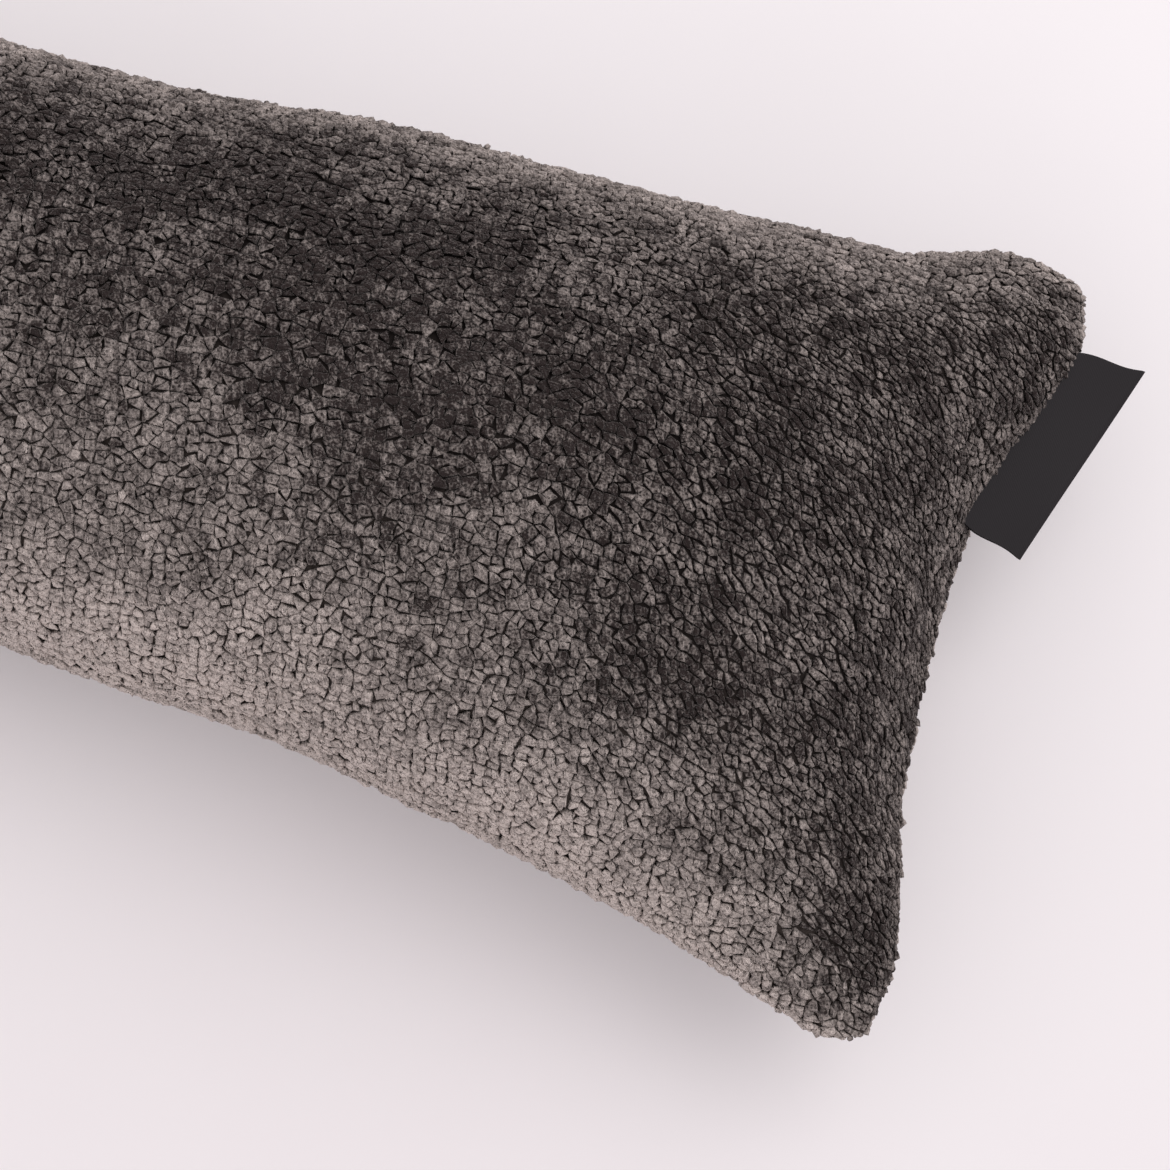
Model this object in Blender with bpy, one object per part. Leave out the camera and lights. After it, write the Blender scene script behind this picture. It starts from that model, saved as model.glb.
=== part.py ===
"""A draught excluder: a long cushion of deep chenille, stuffed firmly, with a folded label in one end seam.

Units are metres. +X runs along the cushion towards the end with the label, +Y to the back and +Z up.
The cushion rests on the plane z = 0, and the origin lies on that plane under the middle of the cushion.
"""

import math
from collections import namedtuple

import bmesh
import bpy
from mathutils import Vector

# The cloth is cut 900 x 200 mm. Stuffing draws it in to the sizes below.
LENGTH = 0.880  # between the tips of the corners, along X
SEAM_HEIGHT = 0.047  # of the side seams above the floor, along the body
END_SEAM_HEIGHT = 0.043  # of the middle of an end seam, clear of the floor
CORNER_DROOP = 0.007  # how far the corners hang below that
CROWN = 0.058  # top of the body above its side seams
BELLY = 0.051  # underside below the side seams, before the floor flattens it
TAPER = 0.125  # length over which an end rises from its seam to the full crown
TAPER_ROUND = 2.2  # how soon the taper levels out
TAPER_BLUNT = 1.8  # how steeply it leaves the seam
BODY_FULLNESS = 0.86  # under 1 the section is fuller than an ellipse
END_FULLNESS = 1.15  # over 1 it thins towards the corners
END_SAG = 0.0135  # how far the middle of an end seam is pulled in
SAG_EDGE = 0.084  # from the middle line to where that pull starts
SAG_FLAT = 0.026  # from the middle line to where it is full
SAG_REACH = 0.120  # how far from the end the pull still shows
LIP = 0.0060  # how far the underside swells out below an end seam
LIP_PLACE = 0.0060  # from the end seam to the fullest point of that swelling
PUCKERS = 9  # gathers across an end, drawn in by its seam
PUCKER_DEPTH = 0.0011
PUCKER_REACH = 0.034  # how far the gathers run in from the end seam

# From the middle line to the side seams, by the distance from the tips of the corners.
Width = namedtuple("Width", "from_end front back")
WIDTHS = (
    Width(0.000, 0.0895, 0.0870),
    Width(0.003, 0.0935, 0.0925),
    Width(0.008, 0.0955, 0.0955),
    Width(0.016, 0.0950, 0.0970),
    Width(0.026, 0.0928, 0.0960),
    Width(0.040, 0.0885, 0.0912),
    Width(0.060, 0.0852, 0.0872),
    Width(0.090, 0.0808, 0.0845),
    Width(0.130, 0.0750, 0.0828),
    Width(0.180, 0.0715, 0.0788),
    Width(0.240, 0.0700, 0.0738),
    Width(0.320, 0.0720, 0.0722),
    Width(0.440, 0.0725, 0.0725),
)

# Soft lumps and dents of the stuffing. Place is along X, and turn is round the section in degrees: 0 at the
# front seam, 90 at the crown, 180 at the back seam and 270 under the belly.
Lump = namedtuple("Lump", "place turn size height")
LUMPS = (
    Lump(0.402, 150, 0.020, -0.0022),
    Lump(0.398, 32, 0.022, -0.0016),
    Lump(0.290, 62, 0.060, 0.0014),
    Lump(0.205, 120, 0.050, -0.0016),
    Lump(0.120, 70, 0.055, 0.0016),
    Lump(0.010, 100, 0.070, -0.0014),
    Lump(-0.110, 60, 0.060, 0.0016),
    Lump(-0.230, 110, 0.055, -0.0014),
    Lump(-0.320, 75, 0.050, 0.0014),
    Lump(-0.402, 148, 0.021, -0.0018),
    Lump(-0.400, 30, 0.020, -0.0020),
)

# The label: a woven ribbon folded once, with both its ends sewn into the end seam.
LABEL_REACH = 0.0172  # from the seam to its fold
LABEL_CLOTH = 0.0010  # thickness of one layer
LABEL_LAYERS_APART = 0.0005
LABEL_CLEARANCE = 0.0006  # from the seam line, so that no corner comes nearer than 0.3 mm to the chenille
# Its front and back sides: where along Y each meets the seam, degrees it turns from +X, and drop at the fold.
LabelSide = namedtuple("LabelSide", "y turn drop")
LABEL_SIDES = (LabelSide(0.028, -21.0, 0.0040), LabelSide(0.080, 0.0, 0.0010))

ROWS = 74  # grid cells along the cushion
COLUMNS = 24  # grid cells across each panel
WELD = 1e-5
LABEL_STEPS = 12
FOLD_STEPS = 8
BISECTIONS = 40

CHENILLE = ((0.085, 0.075, 0.072), 0.9)
LABEL_SATIN = ((0.020, 0.019, 0.022), 0.55)


def clear_scene():
    for obj in list(bpy.data.objects):
        bpy.data.objects.remove(obj)


def plain_material(name, finish):
    colour, roughness = finish
    material = bpy.data.materials.new(name)
    material.use_nodes = True
    shader = material.node_tree.nodes["Principled BSDF"]
    shader.inputs["Base Color"].default_value = (*colour, 1.0)
    shader.inputs["Roughness"].default_value = roughness
    shader.inputs["Metallic"].default_value = 0.0
    material.diffuse_color = (*colour, 1.0)
    return material


def eased(share):
    """0 to 1 with a level start and end."""
    share = min(max(share, 0.0), 1.0)
    return share * share * (3.0 - 2.0 * share)


def seam_distance(from_end, side):
    """From the middle line to the front or back seam: the table WIDTHS read as a smooth curve."""
    last = len(WIDTHS) - 1
    if from_end >= WIDTHS[last].from_end:
        return getattr(WIDTHS[last], side)
    row = max(k for k in range(last) if WIDTHS[k].from_end <= from_end)
    gap = WIDTHS[row + 1].from_end - WIDTHS[row].from_end

    def slope(k):
        before, after = WIDTHS[max(k - 1, 0)], WIDTHS[min(k + 1, last)]
        return (getattr(after, side) - getattr(before, side)) / (after.from_end - before.from_end)

    t = (from_end - WIDTHS[row].from_end) / gap
    return (
        (2 * t**3 - 3 * t**2 + 1) * getattr(WIDTHS[row], side)
        + (t**3 - 2 * t**2 + t) * gap * slope(row)
        + (3 * t**2 - 2 * t**3) * getattr(WIDTHS[row + 1], side)
        + (t**3 - t**2) * gap * slope(row + 1)
    )


def rise(from_end):
    """Share of the full crown reached at this distance from the end seam."""
    left = 1.0 - min(from_end / TAPER, 1.0)
    return (1.0 - left**TAPER_ROUND) ** (1.0 / TAPER_BLUNT)


def swelling(x, turn, radius):
    """Height of the lumps and dents at this point of the surface."""
    total = 0.0
    for lump in LUMPS:
        round_it = math.radians((turn - lump.turn + 180.0) % 360.0 - 180.0) * radius
        total += lump.height * math.exp(-((x - lump.place) ** 2 + round_it**2) / lump.size**2)
    return total


def surface_point(along, across, top):
    """A point of the cushion. along and across run from -1 to 1 over a panel, and top picks the panel."""
    from_end = LENGTH / 2 * (1.0 - math.sin(math.pi / 2 * abs(along)))
    turn = 90.0 * (across + 1.0)  # 0 at the front seam, 180 at the back seam
    middle = math.sin(math.radians(turn))  # 0 at the side seams, 1 at the middle line
    y = -math.cos(math.radians(turn)) * seam_distance(from_end, "front" if across < 0 else "back")
    near_end = 1.0 - eased(from_end / TAPER)

    pulled = eased((SAG_EDGE - abs(y)) / (SAG_EDGE - SAG_FLAT))
    x = LENGTH / 2 - from_end - END_SAG * pulled * max(1.0 - from_end / SAG_REACH, 0.0) ** 2
    if not top:
        share = from_end / LIP_PLACE
        x += LIP * share * math.exp(1.0 - share) * middle**2
    x = math.copysign(x, along)

    fullness = BODY_FULLNESS + (END_FULLNESS - BODY_FULLNESS) * near_end
    thickness = rise(from_end) * middle**fullness
    seam = SEAM_HEIGHT + (END_SEAM_HEIGHT - CORNER_DROOP * (1.0 - middle) - SEAM_HEIGHT) * near_end
    z = CROWN * thickness if top else -BELLY * thickness

    free = min(from_end / LIP_PLACE, 1.0)  # 0 where the stitches hold the cloth
    gather = PUCKER_DEPTH * math.cos(math.pi * PUCKERS * across) * middle * free
    gather *= 1.0 - eased(from_end / PUCKER_REACH)
    out = Vector((0.0, y, z))
    radius = out.length
    if radius > WELD:
        around = turn if top else 360.0 - turn
        out *= 1.0 + free * swelling(x, around, radius) / radius
    z = out.z + (gather if top else -gather)
    return Vector((x, out.y, max(seam + z, 0.0)))


def end_seam(y):
    """The point of the end seam with the label at this distance behind the middle line."""
    low, high = -1.0, 1.0
    for _ in range(BISECTIONS):
        across = (low + high) / 2
        if surface_point(1.0, across, True).y < y:
            low = across
        else:
            high = across
    return surface_point(1.0, across, True)


def mesh_object(name, bm, material):
    """Turns the bmesh into a smooth shaded object with its own material."""
    mesh = bpy.data.meshes.new(name)
    bm.to_mesh(mesh)
    bm.free()
    mesh.shade_smooth()
    mesh.materials.append(material)
    obj = bpy.data.objects.new(name, mesh)
    bpy.context.scene.collection.objects.link(obj)
    return obj


def make_cushion():
    """Two flat grids, one for each panel, laid over the stuffed form and sewn together at their edges."""
    bm = bmesh.new()
    for top in (False, True):
        bmesh.ops.reverse_faces(bm, faces=bm.faces[:])  # the lower panel faces down
        made = bmesh.ops.create_grid(bm, x_segments=ROWS, y_segments=COLUMNS, size=1.0)
        for vertex in made["verts"]:
            vertex.co = surface_point(vertex.co.x, vertex.co.y, top)
    bmesh.ops.remove_doubles(bm, verts=bm.verts[:], dist=WELD)
    return mesh_object("cushion", bm, plain_material("chenille", CHENILLE))


def hairpin():
    """The folded ribbon seen from its side: points of (out from the seam, up), round its outside and back inside."""
    outer = LABEL_CLOTH + LABEL_LAYERS_APART / 2
    inner = LABEL_LAYERS_APART / 2
    centre = LABEL_REACH - outer
    bend = [math.pi / 2 - math.pi * k / FOLD_STEPS for k in range(FOLD_STEPS + 1)]
    outside = [(centre + outer * math.cos(a), outer * math.sin(a)) for a in bend]
    inside = [(centre + inner * math.cos(a), inner * math.sin(a)) for a in reversed(bend)]
    start = LABEL_CLEARANCE
    return [(start, outer)] + outside + [(start, -outer), (start, -inner)] + inside + [(start, inner)]


def label_section(share, profile):
    """The hairpin at this share of the way from the front side of the label to its back side."""
    front, back = LABEL_SIDES
    seam = end_seam(front.y + (back.y - front.y) * share)
    turn = math.radians(front.turn + (back.turn - front.turn) * share)
    drop = front.drop + (back.drop - front.drop) * share
    level = Vector((math.cos(turn), math.sin(turn), 0.0))
    return [seam + level * d + Vector((0, 0, h - drop * (d / LABEL_REACH) ** 2)) for d, h in profile]


def make_label():
    """The folded ribbon, as sections of it side by side along the end seam."""
    bm = bmesh.new()
    profile = hairpin()
    sections = [label_section(k / LABEL_STEPS, profile) for k in range(LABEL_STEPS + 1)]
    rings = [[bm.verts.new(point) for point in section] for section in sections]
    count = len(profile)
    for ring, following in zip(rings, rings[1:]):
        for k in range(count):
            bm.faces.new((ring[k], ring[(k + 1) % count], following[(k + 1) % count], following[k]))
    for ring in (rings[0], rings[-1]):
        half = count // 2
        for k in range(half - 1):
            bm.faces.new((ring[k], ring[k + 1], ring[count - 2 - k], ring[count - 1 - k]))
    bmesh.ops.recalc_face_normals(bm, faces=bm.faces[:])
    return mesh_object("label", bm, plain_material("label_satin", LABEL_SATIN))


def main():
    clear_scene()
    make_cushion()
    make_label()


main()
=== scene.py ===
# %% [markdown]
# # A draught excluder of grey chenille
#
# A draught excluder is a long cushion that lies against the foot of a door. This one is two
# panels of chenille sewn together all round, stuffed firmly, with a small folded ribbon caught
# in one end seam. The CAD part already has its size and its main form, so this script loads it
# as a fixed frame, in metres, and works on what the eye reads as cloth: the plump body, the
# pebbled pile that covers it, and the satin of the ribbon.
#
# Chenille is a woven cloth of furry yarns. Where the fur of one yarn meets the next, thin dark
# cracks are left, so up close it looks like a wall of soft pebbles. That relief is about a
# millimetre deep and shows along every outline, so here it is real geometry, not only a bump.

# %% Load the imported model
import math

import bpy
import numpy as np
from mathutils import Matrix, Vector, noise
from mathutils.bvhtree import BVHTree
from mathutils.kdtree import KDTree


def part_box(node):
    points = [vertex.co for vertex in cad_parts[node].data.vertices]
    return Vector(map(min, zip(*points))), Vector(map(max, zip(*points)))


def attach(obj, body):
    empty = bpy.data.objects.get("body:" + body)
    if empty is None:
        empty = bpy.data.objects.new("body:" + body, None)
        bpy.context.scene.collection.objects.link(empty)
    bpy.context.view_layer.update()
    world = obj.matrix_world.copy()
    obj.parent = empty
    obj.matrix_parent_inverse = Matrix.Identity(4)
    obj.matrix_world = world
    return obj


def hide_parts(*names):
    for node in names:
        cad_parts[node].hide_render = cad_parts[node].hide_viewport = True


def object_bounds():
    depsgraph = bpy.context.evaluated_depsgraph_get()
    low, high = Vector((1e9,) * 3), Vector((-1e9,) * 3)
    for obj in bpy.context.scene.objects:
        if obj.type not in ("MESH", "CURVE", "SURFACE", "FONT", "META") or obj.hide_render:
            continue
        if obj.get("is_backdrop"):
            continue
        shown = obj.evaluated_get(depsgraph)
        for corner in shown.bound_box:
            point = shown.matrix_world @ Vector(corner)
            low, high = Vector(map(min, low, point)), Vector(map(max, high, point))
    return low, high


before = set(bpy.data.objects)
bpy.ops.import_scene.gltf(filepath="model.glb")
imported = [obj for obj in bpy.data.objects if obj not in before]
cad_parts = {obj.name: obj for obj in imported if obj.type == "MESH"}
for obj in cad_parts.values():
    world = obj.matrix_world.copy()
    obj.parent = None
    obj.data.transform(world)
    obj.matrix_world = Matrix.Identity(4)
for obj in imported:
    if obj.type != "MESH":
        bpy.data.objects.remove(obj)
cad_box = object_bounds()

MM = 0.001
print("CAD nodes:", sorted(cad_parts))
print("their box in mm:", [[round(c / MM, 1) for c in corner] for corner in cad_box])

# %% [markdown]
# ## The camera
#
# The photograph looks steeply down on one end of the cushion, from almost a metre above it, with
# a long lens. The camera is set by the point it looks at, the two angles it looks from, its
# distance and its lens. All of these were found by laying the outline of the CAD model over the
# outline in the photograph.

# %% Place the camera
AIM = Vector((0.3440, -0.0150, 0.0500))
TURN, RISE = math.radians(17.75), math.radians(74.0)
DISTANCE = 0.9
PHOTO_SIDE = 1170  # pixels, and the photograph is square
FOCAL_PIXELS = 3799
SENSOR = 36.0  # mm
CLIP_START = 0.01  # nearer than usual, so that a close look isn't cut open

level = math.cos(RISE)
towards_camera = Vector((math.sin(TURN) * level, -math.cos(TURN) * level, math.sin(RISE)))
bpy.ops.object.camera_add(location=AIM + towards_camera * DISTANCE)
camera = bpy.context.object
camera.name = "camera"
camera.rotation_euler = towards_camera.to_track_quat("Z", "Y").to_euler()
camera.data.sensor_width = SENSOR
camera.data.lens = SENSOR * FOCAL_PIXELS / PHOTO_SIDE
camera.data.clip_start = CLIP_START
bpy.context.scene.camera = camera
print(f"camera {camera.location[2]:.3f} m up, lens {camera.data.lens:.1f} mm")

# %% [markdown]
# ## Colours and nodes
#
# A colour picked from a screen is an sRGB hex value, but a shader works in linear light, so one
# function turns the first into the second. One more adds a shader node: it takes the kind of
# node, its settings, and for each input either a number or the socket that feeds it. A third
# starts a material. Every material below is made with just these three.
#
# A socket is called by its name, or by its number where a node has several of one name. A Mix
# node has three sets of sockets with the same names, so its sockets for colours get names here.

# %% Functions for colours, nodes and materials
MIX_A, MIX_B, MIXED = 6, 7, 2  # the two colours that go into a Mix node, and the one that comes out


def linear(hex_colour):
    """A colour such as "5b5552" as the linear red, green, blue and alpha that a shader takes."""
    parts = [int(hex_colour[k : k + 2], 16) / 255 for k in (0, 2, 4)]
    return (*[c / 12.92 if c <= 0.04045 else ((c + 0.055) / 1.055) ** 2.4 for c in parts], 1.0)


def add_node(material, kind, inputs=None, **settings):
    """Adds a node. Each input is a value, or the output socket of another node."""
    tree = material.node_tree
    made = tree.nodes.new(kind)
    for name, value in settings.items():
        setattr(made, name, value)
    for name, value in (inputs or {}).items():
        if isinstance(value, bpy.types.NodeSocket):
            tree.links.new(value, made.inputs[name])
        else:
            made.inputs[name].default_value = value
    return made


def new_material(name):
    """A material with nodes, and its Principled shader."""
    material = bpy.data.materials.new(name)
    material.use_nodes = True
    return material, material.node_tree.nodes["Principled BSDF"]


print("chenille grey in linear light:", [round(c, 3) for c in linear("5b5552")])

# %% [markdown]
# ## The floor and the light
#
# The cushion lies on a plain pale surface that runs out of the picture on every side. It is one
# large plane, marked as stage so that it never counts as part of the object. Such pictures are
# taken on a sheet of matt white acrylic with a little light coming up through it, which is why
# the shadow beside the cushion stays so pale. It is almost white with a breath of pink. The
# faintest unevenness keeps it from looking computed. It is also painted a little paler towards
# the back, a painted light that stands in for the brighter light falling there.

# %% Lay the floor
FLOOR_SIDE = 40.0
# the floor's colour is a painted light: darker at the front, paler at the back
LIGHT_RAMP_FRONT, LIGHT_RAMP_BACK = -0.15, 0.20  # where it begins and stops getting paler
ACRYLIC_PAINTED_DIM_FRONT, ACRYLIC_PAINTED_LIT_BACK = linear("dfd8da"), linear("f3f0f1")
ACRYLIC_UNEVEN, UNEVEN_IN_A_METRE = linear("e8e4e5"), 6.0

bpy.ops.object.select_all(action="DESELECT")
bpy.ops.mesh.primitive_plane_add(size=FLOOR_SIDE, location=(0, 0, 0))
floor = bpy.context.object
floor.name = "floor"

matt_acrylic, shader = new_material("matt_acrylic")
shader.inputs["Roughness"].default_value = 0.85
shader.inputs["Specular IOR Level"].default_value = 0.2
shader.inputs["Emission Color"].default_value = linear("f4eef1")
shader.inputs["Emission Strength"].default_value = 0.14
place = add_node(matt_acrylic, "ShaderNodeTexCoord").outputs["Object"]
cloudy = add_node(
    matt_acrylic, "ShaderNodeTexNoise", {"Vector": place, "Scale": UNEVEN_IN_A_METRE, "Detail": 3.0}
)
depth = add_node(matt_acrylic, "ShaderNodeSeparateXYZ", {"Vector": place})
# painted light: the floor is painted paler from the front to the back
painted_light_ramp = add_node(
    matt_acrylic,
    "ShaderNodeMapRange",
    {"Value": depth.outputs["Y"], "From Min": LIGHT_RAMP_FRONT, "From Max": LIGHT_RAMP_BACK},
)
paint = add_node(
    matt_acrylic,
    "ShaderNodeMix",
    {"Factor": painted_light_ramp.outputs["Result"], MIX_A: ACRYLIC_PAINTED_DIM_FRONT, MIX_B: ACRYLIC_PAINTED_LIT_BACK},
    data_type="RGBA",
)
uneven = add_node(
    matt_acrylic,
    "ShaderNodeMix",
    {"Factor": cloudy.outputs["Fac"], MIX_A: paint.outputs[MIXED], MIX_B: ACRYLIC_UNEVEN},
    data_type="RGBA",
)
matt_acrylic.node_tree.links.new(uneven.outputs[MIXED], shader.inputs["Base Color"])
floor.data.materials.append(matt_acrylic)
floor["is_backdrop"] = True
print("floor", FLOOR_SIDE, "m square")

# %% [markdown]
# The studio is bright and very soft. Most of the light comes evenly from everywhere, as from
# white walls, so the world gives it, and the shadow on the floor stays pale. A wide softbox
# hangs high beyond the labelled end of the cushion, which leaves the floor beside that end
# almost without shadow, and a weak one stands in front. Between them they give the pile its form.

# %% Hang the soft boxes
WALL_LIGHT = 0.71  # how strong the even light is
LIT_PLACE = Vector((0.3, 0.0, 0.05))  # what both boxes face
# name, place, width and length in metres, power in watts
SOFTBOXES = (
    ("softbox_over", (1.60, 0.95, 2.40), 2.8, 2.2, 31.0),
    ("softbox_front", (0.10, -1.60, 1.00), 1.8, 1.0, 3.5),
)

world = bpy.data.worlds.new("studio")
bpy.context.scene.world = world
world.use_nodes = True
walls = world.node_tree.nodes["Background"]
walls.inputs["Color"].default_value = linear("fdf8fb")
walls.inputs["Strength"].default_value = WALL_LIGHT
bpy.context.scene.view_settings.view_transform = "Standard"

for name, place, width, length, power in SOFTBOXES:
    bpy.ops.object.light_add(type="AREA", location=place)
    softbox = bpy.context.object
    softbox.name = name
    softbox.data.shape = "RECTANGLE"
    softbox.data.size, softbox.data.size_y = width, length
    softbox.data.energy = power
    softbox.rotation_euler = (Vector(place) - LIT_PLACE).to_track_quat("Z", "Y").to_euler()
    print(name, power, "W")

# %% [markdown]
# ## The stuffed body
#
# Under the pile is the plump body. A pillow gets its form from the filling that presses the
# cloth out and from the seams that hold it back, and Blender's cloth simulation does the same
# with pressure. The body starts as a slightly smaller copy of the CAD cushion. Its mesh is
# remeshed to even squares, because the long thin triangles of CAD don't bend like cloth, and it
# is then blown up until it nearly fills the CAD form again.
#
# A CAD node is a set of loose triangles, so the copy is first merged into one closed skin.

# %% Copy the CAD cushion
SAME_POINT = 1e-6  # points of the CAD mesh that are nearer than this are one


def only(piece):
    """Makes this piece the only one that operators act on."""
    bpy.ops.object.select_all(action="DESELECT")
    bpy.context.view_layer.objects.active = piece
    piece.select_set(True)


def merged_copy(node, name):
    """A copy of a CAD node with its loose triangles joined."""
    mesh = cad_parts[node].data.copy()
    mesh.materials.clear()
    piece = bpy.data.objects.new(name, mesh)
    bpy.context.collection.objects.link(piece)
    only(piece)
    bpy.ops.object.mode_set(mode="EDIT")
    bpy.ops.mesh.select_all(action="SELECT")
    bpy.ops.mesh.remove_doubles(threshold=SAME_POINT)
    bpy.ops.object.mode_set(mode="OBJECT")
    return piece


guide = merged_copy("cushion", "guide")
body = merged_copy("cushion", "cushion_body")
print("merged to", len(body.data.vertices), "vertices")

# %% [markdown]
# The seam is the sharp line where the two panels meet. It is found now, on the CAD copy, with
# the same operator that a modeller uses to select sharp edges, because remeshing would lose it.

# %% Find the seam
SEAM_ANGLE = math.radians(24)

only(guide)
bpy.ops.object.mode_set(mode="EDIT")
bpy.ops.mesh.select_all(action="DESELECT")
bpy.ops.mesh.edges_select_sharp(sharpness=SEAM_ANGLE)
bpy.ops.object.mode_set(mode="OBJECT")
seam = [v for v in guide.data.vertices if v.select]
seam_points = np.array([v.co[:] for v in seam])
seam_out = np.array([(v.normal[0], v.normal[1], 0.0) for v in seam])
seam_low, seam_high = seam_points[:, 2].min() / MM, seam_points[:, 2].max() / MM
print(len(seam_points), "seam points,", seam_low.round(1), "to", seam_high.round(1), "mm high")

# %% [markdown]
# The points of a mesh are read into an array, a row of three numbers for each, so that a whole
# piece can be measured or moved with a few sums. The copy is made smaller about the height of its
# seam and remeshed. Gravity is off while it is blown up, because the filling is what gives it
# its form. No point may move further than a centimetre or so, which keeps a corner from swelling.

# %% Blow the body up
BODY_VOXEL = 4.4 * MM
SEAM_HEIGHT = 40 * MM
SLACK = Vector((0.5, 0.5, 7.0)) * MM  # how much smaller the body starts, on each side
PRESSURE = 4.0
STEPS = 20
MOST_MOVE = 9 * MM
TINY = 1e-9  # keeps a sum from dividing by nothing


def points_of(mesh):
    """The places of a mesh's vertices, a row for each."""
    flat = np.empty(len(mesh.vertices) * 3, np.float32)
    mesh.vertices.foreach_get("co", flat)
    return flat.reshape(-1, 3).astype(float)


def move_points(mesh, places):
    """Puts a mesh's vertices at these places."""
    mesh.vertices.foreach_set("co", np.asarray(places, np.float32).ravel())
    mesh.update()


lowest, highest = (np.array(c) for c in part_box("cushion"))
smaller = 1 - 2 * np.array(SLACK) / (highest - lowest)
only(body)
bpy.ops.object.mode_set(mode="EDIT")
bpy.ops.mesh.select_all(action="SELECT")
bpy.ops.transform.resize(value=tuple(smaller), center_override=(0, 0, SEAM_HEIGHT))
bpy.ops.object.mode_set(mode="OBJECT")
body.data.remesh_voxel_size = BODY_VOXEL
bpy.ops.object.voxel_remesh()

start = points_of(body.data)
cloth = body.modifiers.new("filling", "CLOTH")
cloth.settings.use_pressure = True
cloth.settings.uniform_pressure_force = PRESSURE
cloth.settings.effector_weights.gravity = 0
for step in range(1, STEPS + 1):
    bpy.context.scene.frame_set(step)
blown = points_of(body.evaluated_get(bpy.context.evaluated_depsgraph_get()).data)
body.modifiers.remove(cloth)
bpy.context.scene.frame_set(1)
move = blown - start
far = np.linalg.norm(move, axis=1, keepdims=True)
move *= np.minimum(1, MOST_MOVE / np.maximum(far, TINY))
move_points(body.data, start + move)
print(f"the filling pressed it out by {far.mean() / MM:.1f} mm on average, {far.max() / MM:.1f} at most")

# %% [markdown]
# The pile stands on this body, so the body has to lie a little inside the CAD form: never nearer
# to its surface than half the length of the pile, and nowhere much deeper than the whole length.
# Two Shrinkwrap modifiers hold it between these two skins.

# %% Hold the body just inside the CAD form
NEAREST, DEEPEST = 1.1 * MM, 2.6 * MM

for mode, depth in (("INSIDE", NEAREST), ("OUTSIDE_SURFACE", -DEEPEST)):
    hold = body.modifiers.new("hold", "SHRINKWRAP")
    hold.target = guide
    hold.wrap_method = "NEAREST_SURFACEPOINT"
    hold.wrap_mode = mode
    hold.offset = depth
    only(body)
    bpy.ops.object.modifier_apply(modifier=hold.name)
print(f"body held {NEAREST / MM:.1f} to {DEEPEST / MM:.1f} mm inside the CAD form")

# %% [markdown]
# Voxels round off whatever is thinner than they are, so the body now falls short of the seam, most
# of all in its four corners. There the cloth is drawn out to the seam again, as a modeller does
# with proportional editing: the full pull at the seam, fading over the next two centimetres.

# %% Draw the edges out to the seam
SEAM_INSET = 0.7 * MM
PULL_REACH = 24 * MM
NEAR_SEAM = 5  # seam points that share the pull on each place
SEAM_PASSES = 3


def unit(rows):
    """Rows of numbers scaled to length one."""
    return rows / np.maximum(np.linalg.norm(rows, axis=-1, keepdims=True), TINY)


def eased(share):
    """A share from 0 to 1, with a soft start and a soft stop."""
    return share * share * (3 - 2 * share)


def tree_of(places):
    """A k-d tree, which finds the nearest of many points quickly."""
    tree = KDTree(len(places))
    for k, place in enumerate(places):
        tree.insert(place, k)
    tree.balance()
    return tree


seam_tree = tree_of(seam_points)
beside = [[k for _, k, _ in seam_tree.find_n(point, NEAR_SEAM)] for point in seam_points]
outward = unit(seam_out[beside].sum(1))


def draw_to_seam(places):
    """Moves places near the seam outwards by what the nearest of them lack."""
    tree = tree_of(places)
    nearest = np.array([tree.find(point)[0][:] for point in seam_points])
    lack = np.maximum(((seam_points - nearest) * outward).sum(1) - SEAM_INSET, 0)
    pull = outward * lack[:, None]
    moved = places.copy()
    for k, place in enumerate(places):
        found = seam_tree.find_n(place, NEAR_SEAM)
        share = 1 - min(found[0][2] / PULL_REACH, 1)
        if share > 0:
            moved[k] += pull[[number for _, number, _ in found]].mean(0) * eased(share)
    print(f"drawn out by {lack.mean() / MM:.2f} mm on average, {lack.max() / MM:.2f} at most")
    return moved


places = points_of(body.data)
for _ in range(SEAM_PASSES):
    places = draw_to_seam(places)

# %% [markdown]
# A stuffed cushion is never as even as its pattern. A few soft pushes, each strongest at its
# middle and fading out around it, give this one the fuller sides and corners of the photograph
# and the slight hollow of its end, none of them by more than four millimetres.

# %% Push it into its own shape
FLOOR_GAP = 0.9 * MM
# middle, push and reach in mm
PUSHES = (
    ((395, 80, 60), (0.0, 3.6, 1.0), 75),
    ((436, 92, 45), (-0.6, 2.6, 0.0), 35),
    ((262, 90, 60), (0.0, 2.2, 0.6), 50),
    ((400, -92, 40), (0.0, -2.0, 0.0), 45),
    ((330, -88, 40), (0.0, -1.8, 0.0), 60),
    ((436, -92, 38), (0.4, -3.3, 0.0), 22),
    ((432, 15, 40), (-2.2, 0.0, 0.0), 55),
    ((243, -90, 40), (0.0, -2.4, 0.0), 45),
    ((370, -95, 40), (0.0, -1.8, 0.0), 35),
)
for middle_mm, push_mm, reach_mm in PUSHES:
    far = np.linalg.norm(places / MM - middle_mm, axis=1, keepdims=True)
    places += np.array(push_mm) * MM * eased(np.clip(1 - far / reach_mm, 0, 1))
places[:, 2] = np.maximum(places[:, 2], FLOOR_GAP)
move_points(body.data, places)
body.data.shade_smooth()
print("body", len(body.data.polygons), "faces")
print("its box in mm:", (places.min(0) / MM).round(1), (places.max(0) / MM).round(1))

# %% [markdown]
# ## Where each tuft stands
#
# The tufts of the cloth stand 2 to 3 mm apart, a little further along the cushion than across
# it. Remeshing a copy of the body with voxels of that size gives one vertex for each tuft, and
# pressing the copy together lengthwise before that, and drawing it out again after, makes the
# spacing uneven in the right way. One place in eight is left out, because in the real cloth no two
# tufts are alike. The random numbers are seeded, so every run plants the same pile.
#
# A million triangles is the most that this scene may spend. Underneath, where the cushion lies on
# the floor, the tufts are drawn wider to spend fewer triangles, and the fine ones are kept for
# what shows.

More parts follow.
